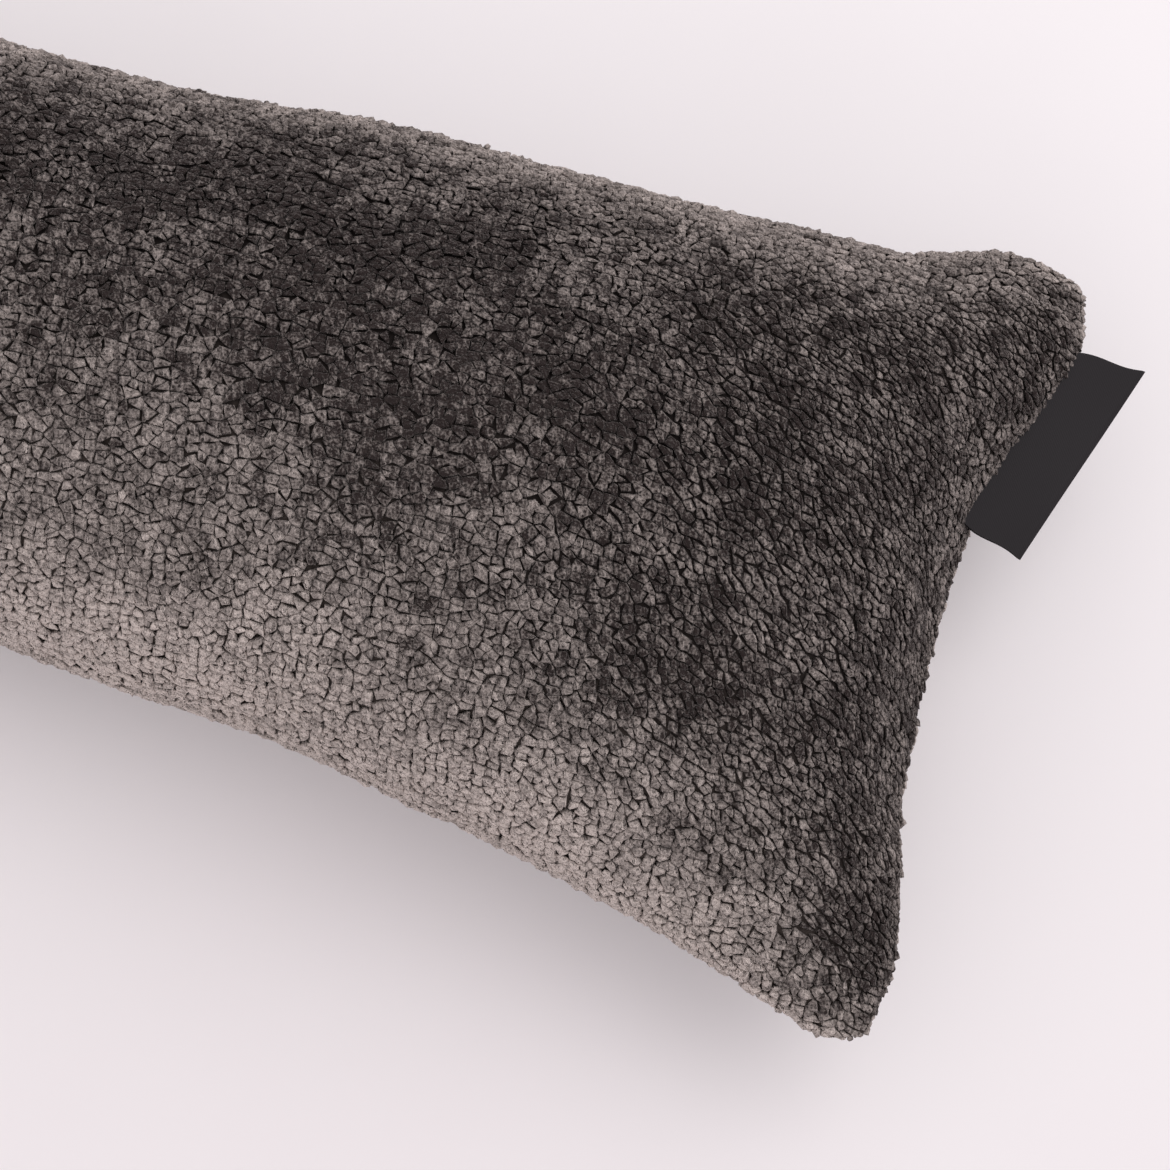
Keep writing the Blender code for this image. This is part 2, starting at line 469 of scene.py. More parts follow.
# %% Mark the places of the tufts
PITCH_SEEN, PITCH_BELOW = 2.27 * MM, 3.7 * MM
BELOW = -0.4  # the cloth that faces down by more than this counts as underneath
ROW_STRETCH = 0.80  # the spacing across the cushion, as a part of the spacing along it
LEFT_OUT = 0.12

rng = np.random.default_rng(7)
pressed = np.array([ROW_STRETCH, 1.0, 1.0])
found = []
for bed_pitch, seen in ((PITCH_SEEN, True), (PITCH_BELOW, False)):
    bed = body.copy()
    bed.data = body.data.copy()
    bpy.context.collection.objects.link(bed)
    only(bed)
    move_points(bed.data, points_of(bed.data) * pressed)
    bed.data.remesh_voxel_size = bed_pitch
    bpy.ops.object.voxel_remesh()
    move_points(bed.data, points_of(bed.data) / pressed)
    normals = np.array([v.normal[:] for v in bed.data.vertices])
    kept = ((normals[:, 2] > BELOW) == seen) & (rng.random(len(normals)) > LEFT_OUT)
    found.append((points_of(bed.data)[kept], normals[kept], np.full(kept.sum(), bed_pitch)))
    bpy.data.objects.remove(bed)
    print(kept.sum(), "tufts", "that show" if seen else "underneath")
roots, ups, pitch = (np.concatenate(rows) for rows in zip(*found))
count = len(roots)
print(count, "tufts in all")

# %% [markdown]
# Each place is then nudged at random along the cloth. For that, every tuft gets two directions
# that lie flat on the body, one along the cushion and one across it, and it is set back on the
# body after the nudge.

# %% Nudge the tufts along the cloth
NUDGE = 0.40  # of the pitch
OFF_AXIS = 1e-5  # gives a direction even where the cloth faces exactly the way that is asked for


def flat_axes(ups, towards):
    """Two directions along the cloth at each place, the first as near as it can be to the one given."""
    first = unit(np.asarray(towards) - ups * (ups * towards).sum(1)[:, None] + OFF_AXIS)
    return first, np.cross(ups, first)


corner_points = [v.co[:] for v in body.data.vertices]
skin = BVHTree.FromPolygons(corner_points, [face.vertices[:] for face in body.data.polygons])


def on_skin(places):
    """The nearest places on the body's surface."""
    return np.array([skin.find_nearest(place)[0][:] for place in places])


along, across = flat_axes(ups, (1.0, 0.0, 0.0))
nudges = rng.uniform(-NUDGE, NUDGE, (count, 2)) * pitch[:, None]
roots = on_skin(roots + along * nudges[:, :1] + across * nudges[:, 1:])
print("nudged by", round(float(np.linalg.norm(nudges, axis=1).mean()) / MM, 2), "mm on average")

# %% [markdown]
# A tuft spreads until it meets its neighbours, which is why the pebbles are irregular and fit
# together with thin cracks. So each one has to know its neighbours. A k-d tree finds the
# nearest dozen. Halfway to each of them runs a border, and in any direction the tuft reaches as
# far as the first border it meets. Along the seam the tufts are smaller.

# %% Find how far each tuft can spread
NEIGHBOURS = 12
NARROWEST, FARTHEST = 0.12, 1.15  # of the pitch
SEAM_CLEAR, SEAM_REACH = 0.8 * MM, 3.5 * MM
AT_SEAM = 0.75  # how large the tufts beside the seam are, as a part of the others
NOT_FACING = 1e-7  # a border that isn't on this side is as good as endlessly far

seam_gap = np.array([seam_tree.find(place)[2] for place in roots])
furrow = np.clip((seam_gap - SEAM_CLEAR) / (SEAM_REACH - SEAM_CLEAR), 0, 1)
size_by_seam = AT_SEAM + (1 - AT_SEAM) * furrow


def neighbours(places):
    """For each place, the numbers of the nearest others."""
    tree = tree_of(places)
    return np.array([[k for _, k, _ in tree.find_n(place, NEIGHBOURS + 1)[1:]] for place in places])


def circle(angles):
    """The points at these angles on a circle of radius one."""
    return np.stack([np.cos(angles), np.sin(angles)], -1)


def reach(places, near, angles, gaps):
    """How far each place can spread at each angle, and which of its neighbours it meets there."""
    to = places[near] - places[:, None]
    flat = np.stack([(to * along[:, None]).sum(2) * ROW_STRETCH, (to * across[:, None]).sum(2)], 2)
    rise = (to * ups[:, None]).sum(2)
    far = np.sqrt((flat**2).sum(2) + rise**2)
    flat = unit(flat) * far[..., None]
    facing = np.einsum("nkc,nac->nka", flat, circle(angles))
    border = (far**2 / 2 - far * gaps)[..., None] / np.maximum(facing, NOT_FACING)
    least, most = (NARROWEST * pitch)[:, None], (FARTHEST * size_by_seam * pitch)[:, None]
    return np.clip(border.min(1), least, most), border.argmin(1)


print(int((furrow < 1).sum()), "tufts stand beside the seam")

# %% [markdown]
# The same sum, done once beforehand, moves every root part of the way to the middle of its own
# patch, so that no two stand too close. The middle of a patch is worked out as that of a pie
# whose slices are as long as the tuft can spread.

# %% Even the roots out
EVEN_OUT = 0.45  # of the sum, whose two thirds would be all the way
SLICES = 12

near = neighbours(roots)
even = np.tile(np.arange(SLICES) * math.tau / SLICES, (count, 1))
spread, _ = reach(roots, near, even, 0.0)
pull = (spread[..., None] ** 3 * circle(even)).sum(1) / (spread**2).sum(1)[:, None]
pull *= EVEN_OUT
roots = on_skin(roots + along * pull[:, :1] / ROW_STRETCH + across * pull[:, 1:])
near = neighbours(roots)
print("roots moved by", round(float(np.linalg.norm(pull, axis=1).mean()) / MM, 2), "mm on average")

# %% [markdown]
# The cracks aren't all alike either. Tufts from the same few centimetres of yarn cling together
# in clumps of about five, with shallow cracks inside a clump and deeper, darker ones between
# clumps. The clumps are longer along the cushion than across it, which gives the cloth its grain.

# %% Gather the tufts in clumps
CLUMP_OF = 5.0
CLUMP_STRETCH = np.array([0.6, 1.0, 1.0])
CRACK_IN, CRACK_BETWEEN = -0.17 * MM, -0.11 * MM  # under 0, tufts press into each other

leaders = roots[rng.random(count) < 1 / CLUMP_OF] * CLUMP_STRETCH
leader_tree = tree_of(leaders)
clump = np.array([leader_tree.find(place)[1] for place in roots * CLUMP_STRETCH])
cracks = np.where(clump[near] == clump[:, None], CRACK_IN, CRACK_BETWEEN)
print(len(leaders), "clumps")

# %% [markdown]
# Each corner of a tuft tries a few directions and takes the longest, because that is where
# three tufts meet, so hardly any ground is left bare. It is then laid back on the body, which
# curves away under it, most of all at the four corners of the cushion. It also keeps how deep
# the crack is there, by whether the neighbour that it meets belongs to its own clump.

# %% Find the corners of every tuft
SIDES = 5
LOOKS = 6  # directions that each corner tries
ROUNDED = 1.42  # no corner reaches further than this, times the average of its tuft
GROOVE_IN, GROOVE_BETWEEN = 0.60, 0.46  # how high the bottom of a crack lies, of the height of the pile
GROOVE_SPREAD = 0.12

looks = np.arange(SIDES * LOOKS) * math.tau / (SIDES * LOOKS)
tried = rng.uniform(0, math.tau, (count, 1)) + looks
far, meets = (rows.reshape(count, SIDES, LOOKS) for rows in reach(roots, near, tried, cracks))
longest = far.argmax(2)[..., None]
spread = np.take_along_axis(far, longest, 2)[..., 0]
spread = np.minimum(spread, ROUNDED * spread.mean(1, keepdims=True))
angles = np.take_along_axis(tried.reshape(far.shape), longest, 2)[..., 0]
meets = np.take_along_axis(meets, longest, 2)[..., 0]
same = clump[np.take_along_axis(near, meets, 1)] == clump[:, None]
groove = np.where(same, GROOVE_IN, GROOVE_BETWEEN)
groove = groove + rng.uniform(-GROOVE_SPREAD, GROOVE_SPREAD, same.shape)
edge = along[:, None] * (spread * np.cos(angles) / ROW_STRETCH)[..., None]
edge += across[:, None] * (spread * np.sin(angles))[..., None]
edge = on_skin((roots[:, None] + edge).reshape(-1, 3)).reshape(edge.shape) - roots[:, None]
print(f"a tuft is {spread.mean() * 2 / MM:.2f} mm wide, {same.mean():.2f} of its corners in its clump")

# %% [markdown]
# ## One tuft
#
# Up close a tuft is a rounded pebble, wide at its foot, where it meets its neighbours. A cylinder
# with fans on its ends has the right faces: its top is drawn in to a shoulder, the middle of the
# top is raised, and the middle of the foot is dissolved, because nobody sees it. It has 18
# faces, which is few enough to plant by the ten thousand, and smooth shading rounds it.

# %% Model one tuft
SHOULDER_WIDTH, SHOULDER = 0.76, 0.84  # width and height of the shoulder
CLOSE = 0.1  # a point nearer than this to the axis, or to the foot, lies on it
TURN_ROOM = 0.01  # keeps rounding from giving a point to the corner before its own


def pick_points(piece, wanted):
    """Selects the points for which wanted(x, y, z) is true, and leaves the piece in edit mode."""
    bpy.ops.object.mode_set(mode="EDIT")
    bpy.ops.mesh.select_all(action="DESELECT")
    bpy.ops.object.mode_set(mode="OBJECT")
    for vertex in piece.data.vertices:
        vertex.select = wanted(*vertex.co)
    bpy.ops.object.mode_set(mode="EDIT")


bpy.ops.object.select_all(action="DESELECT")
bpy.ops.mesh.primitive_cylinder_add(vertices=SIDES, radius=1, depth=SHOULDER, end_fill_type="TRIFAN")
tuft = bpy.context.object
pick_points(tuft, lambda x, y, z: z > 0)
bpy.ops.transform.resize(value=(SHOULDER_WIDTH, SHOULDER_WIDTH, 1), center_override=(0, 0, 0))
pick_points(tuft, lambda x, y, z: z > 0 and math.hypot(x, y) < CLOSE)
bpy.ops.transform.translate(value=(0, 0, 1 - SHOULDER))
pick_points(tuft, lambda x, y, z: z < 0 and math.hypot(x, y) < CLOSE)
bpy.ops.mesh.dissolve_verts()
bpy.ops.mesh.select_all(action="SELECT")
bpy.ops.mesh.quads_convert_to_tris()
bpy.ops.transform.translate(value=(0, 0, SHOULDER / 2))
bpy.ops.object.mode_set(mode="OBJECT")
tuft_points = points_of(tuft.data)
tuft_faces = np.array([face.vertices[:] for face in tuft.data.polygons])
bpy.data.objects.remove(tuft)

tuft_wide = np.hypot(tuft_points[:, 0], tuft_points[:, 1])
tuft_angle = np.arctan2(tuft_points[:, 1], tuft_points[:, 0])
tuft_corner = np.floor(tuft_angle / math.tau * SIDES + TURN_ROOM).astype(int) % SIDES
tuft_foot, tuft_middle = tuft_points[:, 2] < CLOSE, tuft_wide < CLOSE
print(len(tuft_points), "points and", len(tuft_faces), "faces in a tuft")

# %% [markdown]
# ## How the pile lies
#
# The pile leans towards the front of the cushion, as if a hand had brushed it, and along the seam
# the tufts are short, so that a narrow furrow shows where the panels are sewn. Towards the
# labelled end the cloth falls away and the pile is combed down it: there the tufts are narrow and
# lie well over towards that end, like short strokes. Their heights differ in soft waves about a
# centimetre long, from clump to clump, and from tuft to tuft.

# %% Work out the height and the lean of every tuft
PILE = 2.2 * MM
LEAN, LEAN_COMBED = 0.30, 1.0
STRAY = 0.10  # how far each tuft leans in a direction of its own
COMBED_FROM, COMBED_TO = 0.02, 0.35  # how much the cloth faces the labelled end
COMBED_LOWEST = -0.2  # cloth that faces down by more than this isn't combed
BRUSHED = np.array([0.45, -1.0, -0.35])
COMBED_ASIDE = np.array([0.8, 0.0, 0.0])  # what combing adds to that direction
HEIGHT_WAVE = 9 * MM
WAVY, UNEVEN, UNEVEN_CLUMP = 0.25, 0.18, 0.16  # of the height

combed = np.clip((ups[:, 0] - COMBED_FROM) / (COMBED_TO - COMBED_FROM), 0, 1) * (ups[:, 2] > COMBED_LOWEST)
brushed, sideways = flat_axes(ups, BRUSHED + COMBED_ASIDE * combed[:, None])
lean = (LEAN + (LEAN_COMBED - LEAN) * combed) * furrow
pile_up = unit(ups + lean[:, None] * brushed + rng.normal(0, STRAY, (count, 3)))
waves = np.array([noise.noise(Vector(place) / HEIGHT_WAVE) for place in roots])
differs = WAVY * waves + rng.uniform(-UNEVEN, UNEVEN, count)
differs = differs + rng.uniform(-UNEVEN_CLUMP, UNEVEN_CLUMP, len(leaders))[clump]
height = PILE * (1.0 + differs) * size_by_seam
print("pile", round(float(height.mean()) / MM, 2), "mm long on average")

# %% [markdown]
# Velvet looks pale where the eye meets the sides of its fibres and dark where it looks down into
# them, and that changes with the light and the view. Here it is painted into the colour instead,
# worked out from the way the cloth faces: a painted sheen on the front of the cushion, painted
# shade on top and towards the labelled end, and a painted sheen again at the back, where the cloth
# turns away. Each tuft gets this as a number, from 0 for painted shade to 1 for painted sheen,
# which its material reads.

# %% Work out the sheen and shade painted on each tuft
# how the cloth faces, and how pale the pile is painted there, as painted sheen
PAINTED_SHEEN_FRONT = ((-1.0, 1.00), (-0.7, 0.60), (-0.4, 0.39), (-0.1, 0.17), (0.15, 0.05), (0.3, 0.02), (0.4, 0.0))
PAINTED_SHEEN_BACK = ((0.35, 0.0), (0.45, 0.06), (0.55, 0.12), (0.65, 0.22), (0.75, 0.38), (0.85, 0.50), (1.0, 0.62))
# how much of the front's painted sheen is kept as the cloth turns to the labelled end, where painted shade
# takes over, later low down and sooner on top
PAINTED_SHEEN_KEPT_LOW = ((0.05, 1.0), (0.12, 0.80), (0.25, 0.72), (0.40, 0.47), (1.0, 0.46))
PAINTED_SHEEN_KEPT_TOP = ((0.03, 1.0), (0.12, 0.60), (0.20, 0.22), (0.30, 0.30), (0.42, 0.53), (1.0, 0.50))
TOP_FROM, TOP_TO = -0.42, -0.22  # how the cloth faces between the two
TURN_SHARE, TURN_POWER = 0.45, 0.6  # the pale back reaches round the corner
# past the end seam, where the lower panel turns away: how it faces, and how pale it is painted, as light from
# the floor
PANEL_OUT, PANEL_UP = 0.5, 0.05
PAINTED_FLOOR_LIGHT_UNDERSIDE = 0.65

to_end = np.clip(ups[:, 0], 0, 1)
sheen_kept_low, sheen_kept_top = (np.interp(ups[:, 0], *zip(*curve)) for curve in (PAINTED_SHEEN_KEPT_LOW, PAINTED_SHEEN_KEPT_TOP))
top = np.clip((ups[:, 1] - TOP_FROM) / (TOP_TO - TOP_FROM), 0, 1)
# painted sheen and painted shade, worked out from how the cloth faces
painted_sheen = np.interp(ups[:, 1], *zip(*PAINTED_SHEEN_FRONT)) * (sheen_kept_low + (sheen_kept_top - sheen_kept_low) * top)
painted_sheen += np.interp(ups[:, 1] + TURN_SHARE * to_end**TURN_POWER, *zip(*PAINTED_SHEEN_BACK))
painted_sheen = np.where((ups[:, 0] > PANEL_OUT) & (ups[:, 2] < PANEL_UP), PAINTED_FLOOR_LIGHT_UNDERSIDE, painted_sheen)
tone = rng.random(count)
print("painted_sheen", painted_sheen.min().round(2), "to", painted_sheen.max().round(2), "and", painted_sheen.mean().round(2), "on average")

# %% [markdown]
# Where the pile is painted dark, it is taken to stand open: the ends of the fibres fan out and
# fill the cracks, so there the cracks are shallow. Where it is combed they are filled in part, and
# where it is painted pale not at all.

# %% Fill the cracks where the pile stands open
# OPEN_BELOW is a value of the painted sheen and shade: below it the pile is taken to stand open
OPEN_BELOW = 0.34  # the nap at which the pile begins to stand open
COMBED_SHUT = 0.45  # how much less it does so where it is combed
GROOVE_OPEN, GROOVE_FILLED = 0.86, 0.9  # how high the cracks are filled, and how nearly

standing = np.clip(1 - painted_sheen / OPEN_BELOW, 0, 1) * (1 - COMBED_SHUT * combed)
groove += (GROOVE_OPEN - groove) * GROOVE_FILLED * standing[:, None]
print("the cracks reach up to", groove.mean().round(2), "of the height on average")

# %% [markdown]
# ## Planting the pile
#
# Tens of thousands of tufts are too many for separate objects, so they are planted as joined
# meshes straight from arrays, in six strips that run the length of the cushion. For all tufts of
# a strip at once, every point is moved out to where the tuft can spread, raised to its height, and
# set on its root. The tops differ a little in width, place and height, so that no two are alike.

# %% Shape the tufts
SINK = 0.55 * MM  # how far inside the body the height of a tuft starts
LEAST_HEIGHT = 0.25 * MM  # above the floor
TOP_WIDTH, TOP_SHIFT, TOP_HEIGHT = 0.18, 0.25, 0.12  # how much the tops differ
NARROW_COMBED = 0.22


def shape(mine):
    """The points of these tufts, and how far up its tuft each of them is."""
    wider = rng.uniform(-TOP_WIDTH, TOP_WIDTH, (len(mine), len(tuft_wide)))
    wide = tuft_wide * (1 + wider * ~tuft_foot)
    out = edge[mine][:, tuft_corner] * wide[..., None]
    shift = rng.uniform(-TOP_SHIFT, TOP_SHIFT, (len(mine), 2)) * spread[mine].mean(1, keepdims=True)
    out += (along[mine] * shift[:, :1] + across[mine] * shift[:, 1:])[:, None] * tuft_middle[:, None]
    aside = (out * sideways[mine][:, None]).sum(2) * NARROW_COMBED * combed[mine, None]
    out -= sideways[mine][:, None] * aside[..., None]
    taller = rng.uniform(-TOP_HEIGHT, TOP_HEIGHT, wide.shape)
    up = np.where(tuft_foot, groove[mine][:, tuft_corner], tuft_points[:, 2] + taller)
    z = height[mine][:, None] * up - SINK
    points = roots[mine][:, None] + out + pile_up[mine][:, None] * z[..., None]
    points[..., 2] = np.maximum(points[..., 2], LEAST_HEIGHT * (1 + up))
    return points, up


print(f"a tuft stands {(height.mean() - SINK) / MM:.2f} mm proud of the body on average")

# %% [markdown]
# Each strip also gets a UV map, so that its finish can be baked to pictures. Every tuft has a
# cell of a square grid to itself, and is laid out there as seen from above, with its foot spread
# out round its top. The faces under the foot lie small in a corner.

# %% Lay a tuft out on its cell of the map
UV_SHOULDER, UV_FOOT = 0.30, 0.47  # of a cell, from its middle
UV_HIDDEN, UV_HIDDEN_SIZE = 0.06, 0.03  # the corner of a cell where the unseen foot lies

uv_out = np.where(tuft_middle, 0.0, np.where(tuft_foot, UV_FOOT, UV_SHOULDER))
uv_cell = (circle(tuft_angle) * uv_out[:, None] + 0.5)[tuft_faces]
hidden = tuft_foot[tuft_faces].all(1)
uv_cell[hidden] = UV_HIDDEN + UV_HIDDEN_SIZE * circle(np.arange(3) * math.tau / 3)


def map_cells(mesh, tufts):
    """Gives a mesh of so many tufts its UV map."""
    cells = math.ceil(math.sqrt(tufts))
    cell = np.stack([np.arange(tufts) % cells, np.arange(tufts) // cells], 1)
    uv = (cell[:, None, None] + uv_cell[None]) / cells
    mesh.uv_layers.new(name="OFBake").data.foreach_set("uv", uv.astype(np.float32).ravel())


print(int(hidden.sum()), "hidden faces in a tuft")

# %% [markdown]
# A mesh can be filled in one go: first room is made for its vertices, corners and faces, and then
# each kind is written from an array. The numbers that the material reads are written the same
# way: the tone and the painted sheen and shade of the tuft that a point belongs to, and how far up
# its tuft it is.

# %% Plant the pile in lengthwise strips
STRIPS = 6

girth = np.arctan2(roots[:, 2] - SEAM_HEIGHT, roots[:, 1])
strip_of = np.empty(count, int)
strip_of[np.argsort(girth, kind="stable")] = np.arange(count) * STRIPS // count


def joined(name, points):
    """A mesh of many tufts, from the points of each."""
    first = np.arange(len(points)) * len(tuft_points)
    corners = (first[:, None, None] + tuft_faces).astype(np.int32).ravel()
    mesh = bpy.data.meshes.new(name)
    mesh.vertices.add(points.shape[0] * points.shape[1])
    mesh.loops.add(len(corners))
    mesh.loops.foreach_set("vertex_index", corners)
    mesh.polygons.add(len(corners) // 3)
    mesh.polygons.foreach_set("loop_start", np.arange(0, len(corners), 3, dtype=np.int32))
    move_points(mesh, points)
    mesh.update(calc_edges=True)
    return mesh


def write_number(mesh, name, numbers):
    """Gives every point of a mesh a number that a material can read."""
    layer = mesh.attributes.new(name, "FLOAT", "POINT")
    layer.data.foreach_set("value", np.asarray(numbers, np.float32).ravel())


def plant(strip):
    """Makes one strip of the pile."""
    mine = np.flatnonzero(strip_of == strip)
    points, up = shape(mine)
    mesh = joined(f"pile_{strip + 1}", points)
    write_number(mesh, "tone", np.repeat(tone[mine], len(tuft_points)))
    write_number(mesh, "painted_sheen", np.repeat(painted_sheen[mine], len(tuft_points)))
    write_number(mesh, "tip", up)
    map_cells(mesh, len(mine))
    mesh.shade_smooth()
    piece = bpy.data.objects.new(mesh.name, mesh)
    bpy.context.collection.objects.link(piece)
    print(piece.name, len(mine), "tufts,", len(mesh.polygons), "triangles")
    return piece


pile = [plant(k) for k in range(STRIPS)]
bpy.data.objects.remove(guide)

# The cloth under the pile takes the painted sheen and shade of the nearest tuft.
root_tree = tree_of(roots)
write_number(body.data, "painted_sheen", painted_sheen[[root_tree.find(place)[1] for place in points_of(body.data)]])

# %% [markdown]
# ## Chenille
#
# The yarn is viscose or polyester cut into a short velvet. A Principled shader has Sheen for the
# soft light that velvet shows at its outlines, and there is almost no gloss.
#
# The fibres are a few hundredths of a millimetre thick. Those are far too fine to show, so they
# are drawn about 0.6 mm wide, and as strokes a few times longer than wide along the way the pile
# is brushed. The strokes come from noise that a Mapping node turns and stretches. Soft patches
# show where the pile has been stroked one way or the other: clouds a few centimetres wide, and
# smaller dark spots within them.

# %% Start the chenille and its noises
FIBRE = 0.6 * MM
STROKE_WIDE, STROKE_LONG = 1.0 * MM, 3.2 * MM
CLOUD, SPOT = 30 * MM, 5.5 * MM

chenille, shader = new_material("chenille")
shader.inputs["Roughness"].default_value = 0.92
shader.inputs["Specular IOR Level"].default_value = 0.12
shader.inputs["Sheen Weight"].default_value = 0.45
shader.inputs["Sheen Roughness"].default_value = 0.45
shader.inputs["Sheen Tint"].default_value = linear("c8bfbb")
place = add_node(chenille, "ShaderNodeTexCoord").outputs["Object"]
stroked = add_node(
    chenille,
    "ShaderNodeMapping",
    {
        "Vector": place,
        "Rotation": Vector(BRUSHED).to_track_quat("X", "Z").to_euler(),
        "Scale": (STROKE_LONG / STROKE_WIDE, 1, 1),
    },
    vector_type="TEXTURE",
).outputs["Vector"]

# what each noise is looked up by, the size of its lumps, and its detail
noises = {}
for name, vector, size, detail in (
    ("clouds", place, CLOUD, 4.0),
    ("spots", place, SPOT, 2.0),
    ("fibres", place, FIBRE, 2.0),
    ("strokes", stroked, STROKE_WIDE, 1.0),
):
    made = add_node(chenille, "ShaderNodeTexNoise", {"Vector": vector, "Scale": 1 / size, "Detail": detail})
    noises[name] = made.outputs["Fac"]
# The middle of the two wide ones is stretched, so that they form patches with soft edges.
for name, low, high in (("clouds", 0.36, 0.64), ("spots", 0.34, 0.60)):
    patches = add_node(
        chenille,
        "ShaderNodeMapRange",
        {"Value": noises[name], "From Min": low, "From Max": high},
        interpolation_type="SMOOTHSTEP",
    )
    noises[name] = patches.outputs["Result"]
print("noises:", *noises)

# %% [markdown]
# The colour of the pile runs from dark, its colour under painted shade, to pale grey, its colour
# under painted sheen. What decides is a sum: the painted sheen and shade of the tuft, its own
# tone, and the noises, each of which adds or takes away by how far it lies from its own middle.

# %% Colour the pile
# the pile under painted shade and under painted sheen
PILE_IN_PAINTED_SHADE, PILE_IN_PAINTED_SHEEN = linear("2b2322"), linear("d9ccc5")

tip, own_tone, painted_sheen_of_tuft = (
    add_node(chenille, "ShaderNodeAttribute", attribute_name=name).outputs["Fac"]
    for name in ("tip", "tone", "painted_sheen")
)
# the sum starts from the painted sheen and shade of the tuft
shade = painted_sheen_of_tuft
# what is added, its middle, and its strength
for value, centre, strength in (
    (noises["clouds"], 0.5, 0.21),
    (noises["spots"], 0.65, 0.25),
    (own_tone, 0.5, 0.22),
    (noises["fibres"], 0.5, 1.2),
    (noises["strokes"], 0.5, 0.85),
):
    off = add_node(chenille, "ShaderNodeMath", {0: value, 1: centre}, operation="SUBTRACT")
    shade = add_node(
        chenille, "ShaderNodeMath", {0: off.outputs[0], 1: strength, 2: shade}, operation="MULTIPLY_ADD"
    ).outputs[0]
pile_colour = add_node(
    chenille,
    "ShaderNodeMix",
    {"Factor": shade, MIX_A: PILE_IN_PAINTED_SHADE, MIX_B: PILE_IN_PAINTED_SHEEN},
    data_type="RGBA",
    clamp_factor=True,
)
print("pile from", [round(c, 3) for c in PILE_IN_PAINTED_SHADE[:3]], "to", [round(c, 3) for c in PILE_IN_PAINTED_SHEEN[:3]])

# %% [markdown]
# The cracks are painted with shade, darker low down between the tufts: nearly black where the
# pile is painted dark, and a soft brown-grey where it is painted pale. The fibres fray the line
# where a crack ends, so the height at which it does goes up and down with their noise.

# %% Paint shade into the cracks
# painted shade in the cracks, darkest where the pile is painted dark
CRACK_PAINTED_SHADE_DARK, CRACK_PAINTED_SHADE_PALE = linear("201a19"), linear("6e635d")
# PALE_CRACKS is a value of the painted sheen and shade of the tuft
PALE_CRACKS = 0.7  # the nap at which the cracks are palest
FRAY = 1.2  # how much the noise of the fibres moves the end of a crack
CRACK_TO, PILE_FROM = 0.75, 1.40  # of the height of the tuft, with the noise added

crack_pale = add_node(
    chenille, "ShaderNodeMapRange", {"Value": painted_sheen_of_tuft, "From Min": 0.0, "From Max": PALE_CRACKS}
)
crack_painted_shade = add_node(
    chenille,
    "ShaderNodeMix",
    {"Factor": crack_pale.outputs["Result"], MIX_A: CRACK_PAINTED_SHADE_DARK, MIX_B: CRACK_PAINTED_SHADE_PALE},
    data_type="RGBA",
)
frayed = add_node(
    chenille, "ShaderNodeMath", {0: noises["fibres"], 1: FRAY, 2: tip}, operation="MULTIPLY_ADD"
)
above_crack = add_node(
    chenille,
    "ShaderNodeMapRange",
    {"Value": frayed.outputs[0], "From Min": CRACK_TO, "From Max": PILE_FROM},
    interpolation_type="SMOOTHSTEP",
)
# painted shade low in each tuft, by how far up its tuft a point is
colour = add_node(
    chenille,
    "ShaderNodeMix",
    {
        "Factor": above_crack.outputs["Result"],
        MIX_A: crack_painted_shade.outputs[MIXED],
        MIX_B: pile_colour.outputs[MIXED],
    },
    data_type="RGBA",
)
chenille.node_tree.links.new(colour.outputs[MIXED], shader.inputs["Base Color"])
print("cracks from", [round(c, 3) for c in CRACK_PAINTED_SHADE_DARK[:3]], "to", [round(c, 3) for c in CRACK_PAINTED_SHADE_PALE[:3]])

# %% [markdown]
# The same strokes and fibres are in the bump: combed strokes first, and the fuzz of single fibres
# on top of them.

# %% Comb the chenille
STROKE_DEEP, FUZZ_DEEP = 1.6 * MM, 1.0 * MM

combing = add_node(
    chenille, "ShaderNodeBump", {"Strength": 1.0, "Distance": STROKE_DEEP, "Height": noises["strokes"]}
)
fuzz = add_node(
    chenille,
    "ShaderNodeBump",
    {"Strength": 1.0, "Distance": FUZZ_DEEP, "Height": noises["fibres"], "Normal": combing.outputs["Normal"]},
)
chenille.node_tree.links.new(fuzz.outputs["Normal"], shader.inputs["Normal"])
for piece in pile:
    piece.data.materials.append(chenille)
print("chenille on", len(pile), "strips")

# %% [markdown]
# The ground of the cloth is what shows at the foot of the tufts: the same yarn, with a weave too
# fine to matter, painted dark as the shade at the bottom of the cracks. The painted shade is paler
# where the pile over it is painted paler, so that no crack looks cut out.

# %% Mix the ground of the cloth
# painted shade at the foot of the tufts
GROUND_PAINTED_SHADE = linear("1e1a19")

chenille_ground, shader = new_material("chenille_ground")
shader.inputs["Roughness"].default_value = 0.95
shader.inputs["Specular IOR Level"].default_value = 0.05
place = add_node(chenille_ground, "ShaderNodeTexCoord").outputs["Object"]
weave = add_node(
    chenille_ground, "ShaderNodeTexNoise", {"Vector": place, "Scale": 1 / STROKE_WIDE, "Detail": 2.0}
)
painted_sheen_over_ground = add_node(chenille_ground, "ShaderNodeAttribute", attribute_name="painted_sheen")
ground_pale = add_node(
    chenille_ground,
    "ShaderNodeMapRange",
    {"Value": painted_sheen_over_ground.outputs["Fac"], "From Min": 0.0, "From Max": PALE_CRACKS},
)
ground_colour = add_node(
    chenille_ground,
    "ShaderNodeMix",
    {"Factor": ground_pale.outputs["Result"], MIX_A: GROUND_PAINTED_SHADE, MIX_B: CRACK_PAINTED_SHADE_PALE},
    data_type="RGBA",
)
woven = add_node(
    chenille_ground,
    "ShaderNodeMix",
    {"Factor": weave.outputs["Fac"], MIX_A: GROUND_PAINTED_SHADE, MIX_B: ground_colour.outputs[MIXED]},
    data_type="RGBA",
)
chenille_ground.node_tree.links.new(woven.outputs[MIXED], shader.inputs["Base Color"])
body.data.materials.append(chenille_ground)
